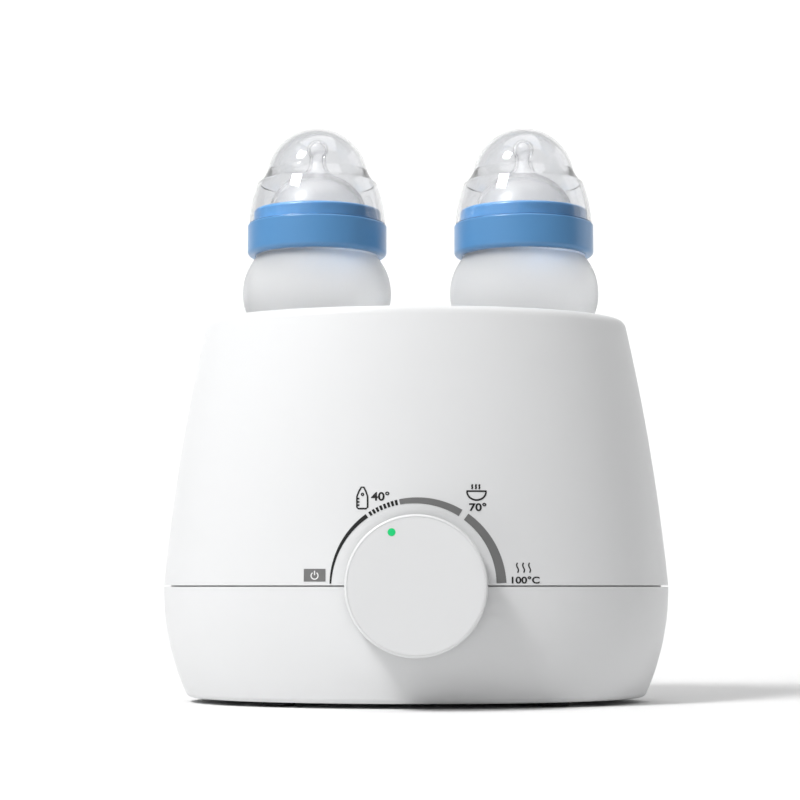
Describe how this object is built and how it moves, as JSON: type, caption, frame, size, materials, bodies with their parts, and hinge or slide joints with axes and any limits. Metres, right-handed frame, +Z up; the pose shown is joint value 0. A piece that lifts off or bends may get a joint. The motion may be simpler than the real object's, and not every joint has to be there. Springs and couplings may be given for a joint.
{
  "type": "bottle warmer",
  "caption": "Tapered oval table-top warmer for baby bottles: heated cups in a white housing, a rotary dial on the front, and a capped feeding bottle standing in each cup.",
  "frame": {"origin": "on the standing surface, midway from side to side of the housing, and midway between the front of the dial and the rear of the housing", "axes": "+Z up, the dial faces -Y, +X to the right of a person facing the dial"},
  "size_m": [0.23, 0.1566, 0.264],
  "materials": {
    "housing_white": "smooth glossy white ABS",
    "deck_metal": "spun, satin anodised",
    "gasket_silicone": "soft grey silicone",
    "foot_rubber": "soft dark rubber",
    "zinc_steel": "zinc plated",
    "bridge_steel": "galvanised sheet",
    "heater_disc": "cast, sandblasted",
    "cutout_body": "black phenolic",
    "dial_white": "smooth glossy white",
    "dial_face": "fine satin light grey",
    "pointer_green": "glowing green light pipe",
    "shaft_steel": "turned",
    "control_black": "black moulded",
    "nut_brass": "nickel-free turned brass",
    "board_green": "green solder mask",
    "component_grey": "moulded",
    "lamp_board": "white solder mask",
    "socket_white": "moulded nylon",
    "pin_brass": "plated",
    "lead_jacket": "insulated hook-up wire",
    "bottle_frosted": "milky translucent polypropylene",
    "collar_blue": "smooth mid-blue",
    "teat_silicone": "translucent silicone",
    "cap_clear": "clear, slightly smoky"
  },
  "bodies": {
    "housing": {"upper_shell": "housing_white", "base_shell": "housing_white", "rubber_feet": "foot_rubber", "case_screws": "zinc_steel", "well_cup_left": "deck_metal", "well_cup_right": "deck_metal", "well_gasket_left": "gasket_silicone", "well_gasket_right": "gasket_silicone", "heater_left": "heater_disc", "heater_right": "heater_disc", "thermal_cutout_left": "cutout_body", "thermal_cutout_right": "cutout_body", "bridge_plate": "bridge_steel", "bridge_screws": "zinc_steel", "stud_washers": "zinc_steel", "stud_nuts": "zinc_steel", "rotary_control": "control_black", "control_washer": "zinc_steel", "control_nut": "nut_brass", "control_bracket": "bridge_steel", "bracket_screws": "zinc_steel", "led_board": "lamp_board", "control_board": "board_green", "board_components": "component_grey", "board_screws": "zinc_steel", "inlet_socket": "socket_white", "inlet_pins": "pin_brass", "internal_leads": "lead_jacket"},
    "dial": {"knob_skirt": "dial_white", "knob_face": "dial_face", "knob_clip": "zinc_steel", "pointer_lens": "pointer_green", "control_shaft": "shaft_steel"},
    "bottle_left": {"bottle_left": "bottle_frosted"},
    "teat_left": {"teat_left": "teat_silicone"},
    "collar_left": {"collar_left": "collar_blue"},
    "cap_left": {"cap_left": "cap_clear"},
    "bottle_right": {"bottle_right": "bottle_frosted"},
    "teat_right": {"teat_right": "teat_silicone"},
    "collar_right": {"collar_right": "collar_blue"},
    "cap_right": {"cap_right": "cap_clear"}
  },
  "joints": [
    {"name": "dial_turn", "type": "hinge", "parent": "housing", "child": "dial", "pos_m": [0, -0.0782, 0.052], "axis": [0, 1, 0], "range_deg": [-65.6, 114.4]},
    {"name": "bottle_lift_left", "type": "slide", "parent": "housing", "child": "bottle_left", "axis": [0, 0, 1], "range_m": [0, 0.12]},
    {"name": "collar_rise_left", "type": "slide", "parent": "bottle_left", "child": "teat_left", "axis": [0, 0, 1], "range_m": [0, 0.00751]},
    {"name": "collar_turn_left", "type": "hinge", "parent": "teat_left", "child": "collar_left", "pos_m": [-0.0457, 0.0093, 0.21], "axis": [0, 0, 1], "range_deg": [0, 450]},
    {"name": "cap_lift_left", "type": "slide", "parent": "teat_left", "child": "cap_left", "axis": [0, 0, 1], "range_m": [0, 0.045]},
    {"name": "bottle_lift_right", "type": "slide", "parent": "housing", "child": "bottle_right", "axis": [0, 0, 1], "range_m": [0, 0.12]},
    {"name": "collar_rise_right", "type": "slide", "parent": "bottle_right", "child": "teat_right", "axis": [0, 0, 1], "range_m": [0, 0.00751]},
    {"name": "collar_turn_right", "type": "hinge", "parent": "teat_right", "child": "collar_right", "pos_m": [0.0501, 0.0093, 0.21], "axis": [0, 0, 1], "range_deg": [0, 450]},
    {"name": "cap_lift_right", "type": "slide", "parent": "teat_right", "child": "cap_right", "axis": [0, 0, 1], "range_m": [0, 0.045]}
  ],
  "couplings": [
    {"joint": "collar_rise_left", "follows": "collar_turn_left", "m_per_rad": 0.00095493},
    {"joint": "collar_rise_right", "follows": "collar_turn_right", "m_per_rad": 0.00095493}
  ]
}
